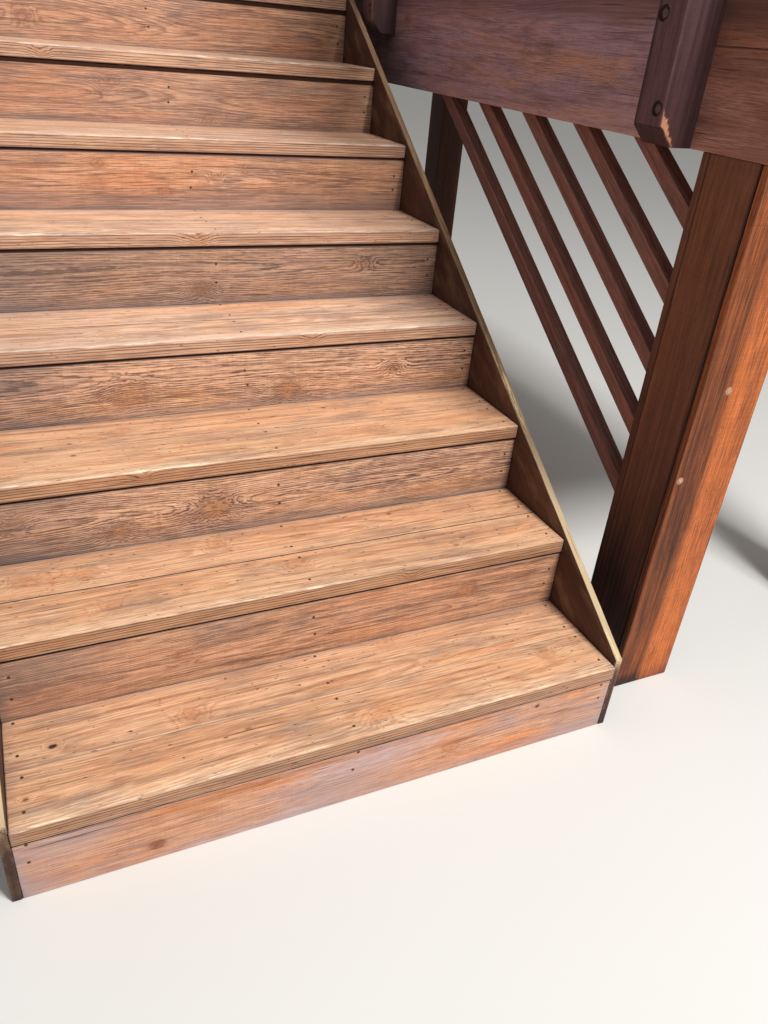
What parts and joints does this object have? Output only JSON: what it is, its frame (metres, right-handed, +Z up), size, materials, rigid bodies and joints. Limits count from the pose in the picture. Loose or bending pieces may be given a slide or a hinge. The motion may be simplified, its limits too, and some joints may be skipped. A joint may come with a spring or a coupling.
{
  "type": "wooden deck stairs",
  "caption": "Closed wooden flight between skirt boards climbing to an upper deck edge with a cased post, sloping slats, bolted rail posts and a guard.",
  "frame": {"origin": "middle of the underside of the foot plate behind the lowest riser, on the floor", "axes": "+Z up, +Y up the flight, +X to the right of someone climbing"},
  "size_m": [2.471, 3.155, 2.786],
  "materials": {
    "tread_boards": "worn sun-lit stained softwood, satin",
    "riser_boards": "stained rough-sawn softwood, greyed low down",
    "skirt_boards": "stained softwood with pale sawn top edge",
    "deck_boards": "weathered stained softwood",
    "post_casing": "red-brown oiled softwood",
    "post_timber": "stained softwood timber",
    "guard_wood": "grey-brown stained softwood",
    "slat_wood": "stained softwood bars",
    "framing_lumber": "plain dry framing softwood",
    "rim_boards": "purple-brown stained softwood, rough-sawn"
  },
  "bodies": {
    "root": {"back_left_post": "post_timber", "back_outer_post": "post_timber", "back_rim": "rim_boards", "cap_rail": "guard_wood", "foot_plate": "framing_lumber", "front_inner_post": "post_timber", "front_outer_post": "post_timber", "front_post_casings": "post_casing", "front_rim": "rim_boards", "guard_balusters": "guard_wood", "header_inner_post": "post_timber", "header_left_post": "post_timber", "landing_deck_boards": "deck_boards", "landing_header": "rim_boards", "landing_joists": "framing_lumber", "left_rim": "rim_boards", "middle_carriages": "framing_lumber", "outer_carriages": "framing_lumber", "outer_rim": "rim_boards", "rail_post_far": "guard_wood", "rail_post_near": "guard_wood", "riser_1": "riser_boards", "riser_2": "riser_boards", "riser_3": "riser_boards", "riser_4": "riser_boards", "riser_5": "riser_boards", "riser_6": "riser_boards", "riser_7": "riser_boards", "riser_8": "riser_boards", "riser_9": "riser_boards", "side_deck_boards": "deck_boards", "side_joists": "framing_lumber", "side_rim_back": "rim_boards", "side_rim_front": "rim_boards", "skirt_left": "skirt_boards", "skirt_right": "skirt_boards", "sloping_slats": "slat_wood", "tread_1": "tread_boards", "tread_2": "tread_boards", "tread_3": "tread_boards", "tread_4": "tread_boards", "tread_5": "tread_boards", "tread_6": "tread_boards", "tread_7": "tread_boards", "tread_8": "tread_boards"}
  },
  "joints": []
}
